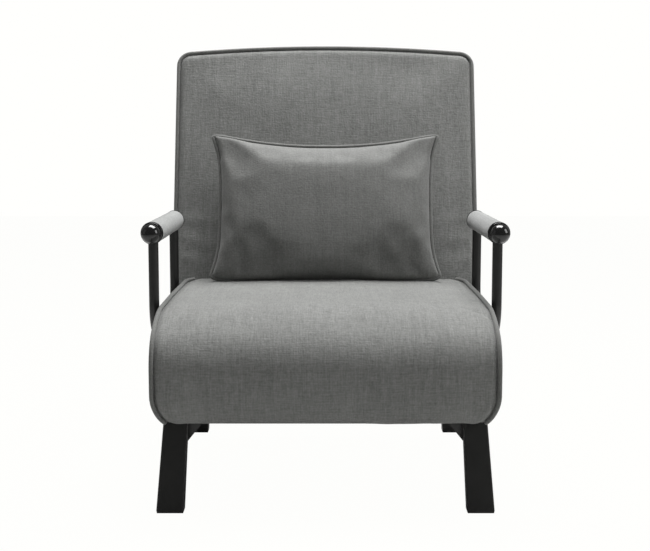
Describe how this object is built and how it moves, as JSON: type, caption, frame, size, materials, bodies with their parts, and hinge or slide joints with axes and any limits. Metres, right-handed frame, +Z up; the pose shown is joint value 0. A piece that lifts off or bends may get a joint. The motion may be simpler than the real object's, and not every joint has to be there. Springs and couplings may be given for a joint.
{
  "type": "convertible chair bed",
  "caption": "Upholstered armchair with tube arms on splayed legs; its seat flips forward over a pull-out leg frame and its back lies flat to make a narrow bed.",
  "frame": {"origin": "on the floor, under the middle of the chair's overall width and depth", "axes": "+Z up, the sitter faces -Y, +X to the right of a front view. Pieces named left are at -X"},
  "size_m": [0.653, 0.7334, 0.8113],
  "materials": {
    "black_paint": "satin black powder coat",
    "zinc_steel": "zinc plated steel",
    "grey_fabric": "mid-grey linen-look weave",
    "backing_fabric": "plain dark backing cloth",
    "light_fabric": "light grey weave",
    "foam": "soft foam",
    "webbing": "elastic webbing",
    "plywood": "raw plywood",
    "gloss_black": "polished black",
    "matte_black": "black moulded plastic",
    "rubber": "black rubber"
  },
  "bodies": {
    "base": {"side_rail_left": "black_paint", "side_rail_right": "black_paint", "rear_leg_left": "black_paint", "rear_leg_right": "black_paint", "rear_glides": "matte_black", "rear_cross_rail": "black_paint", "middle_cross_rails": "black_paint", "rail_end_caps": "matte_black", "lower_frame": "black_paint", "lower_webbing": "webbing", "lower_front_board": "plywood", "dust_cover": "backing_fabric", "lower_pad": "grey_fabric", "lower_hinge_leaf": "zinc_steel", "hinge_rod": "zinc_steel", "recline_plate_left": "black_paint", "recline_plate_right": "black_paint", "recline_pins": "zinc_steel", "arm_bracket_left": "black_paint", "arm_bracket_right": "black_paint", "arm_bolts": "zinc_steel", "arm_loop_left": "black_paint", "arm_rail_left": "black_paint", "grip_foam_left": "foam", "grip_sleeve_left": "light_fabric", "grip_collar_left": "matte_black", "ball_cap_left": "gloss_black", "rear_cap_left": "matte_black", "arm_loop_right": "black_paint", "arm_rail_right": "black_paint", "grip_foam_right": "foam", "grip_sleeve_right": "light_fabric", "grip_collar_right": "matte_black", "ball_cap_right": "gloss_black", "rear_cap_right": "matte_black"},
    "front_frame": {"front_leg_left": "black_paint", "front_leg_right": "black_paint", "sliding_rail_left": "zinc_steel", "sliding_rail_right": "zinc_steel", "front_cross_angle": "black_paint", "leg_gussets": "black_paint", "front_glides": "matte_black"},
    "seat_flip": {"seat_pad": "grey_fabric", "seat_frame": "black_paint", "seat_webbing": "webbing", "sleep_pad": "grey_fabric", "seat_hinge_leaf": "zinc_steel"},
    "backrest": {"back_pad": "grey_fabric", "back_cover": "backing_fabric", "back_frame": "black_paint", "back_webbing": "webbing", "recline_arm_left": "black_paint", "recline_arm_right": "black_paint", "folding_leg_brackets": "black_paint", "folding_leg_pins": "zinc_steel"},
    "head_leg": {"folding_leg": "black_paint", "folding_leg_sleeves": "rubber"},
    "pillow": {"pillow": "grey_fabric"}
  },
  "joints": [
    {"name": "front_leg_slide", "type": "slide", "parent": "base", "child": "front_frame", "axis": [0, -1, 0], "range_m": [0, 0.385]},
    {"name": "seat_flip_hinge", "type": "hinge", "parent": "base", "child": "seat_flip", "pos_m": [0, -0.3644, 0.241], "axis": [1, 0, 0], "range_deg": [0, 180]},
    {"name": "recline_hinge", "type": "hinge", "parent": "base", "child": "backrest", "pos_m": [0, 0.1406, 0.213], "axis": [-1, 0, 0], "range_deg": [0, 73.5]},
    {"name": "folding_leg_hinge", "type": "hinge", "parent": "backrest", "child": "head_leg", "pos_m": [0, 0.32697, 0.60626], "axis": [1, 0, 0], "range_deg": [0, 90]},
    {"name": "pillow_lift", "type": "slide", "parent": "seat_flip", "child": "pillow", "axis": [0, 0, 1], "range_m": [0, 0.52]}
  ]
}
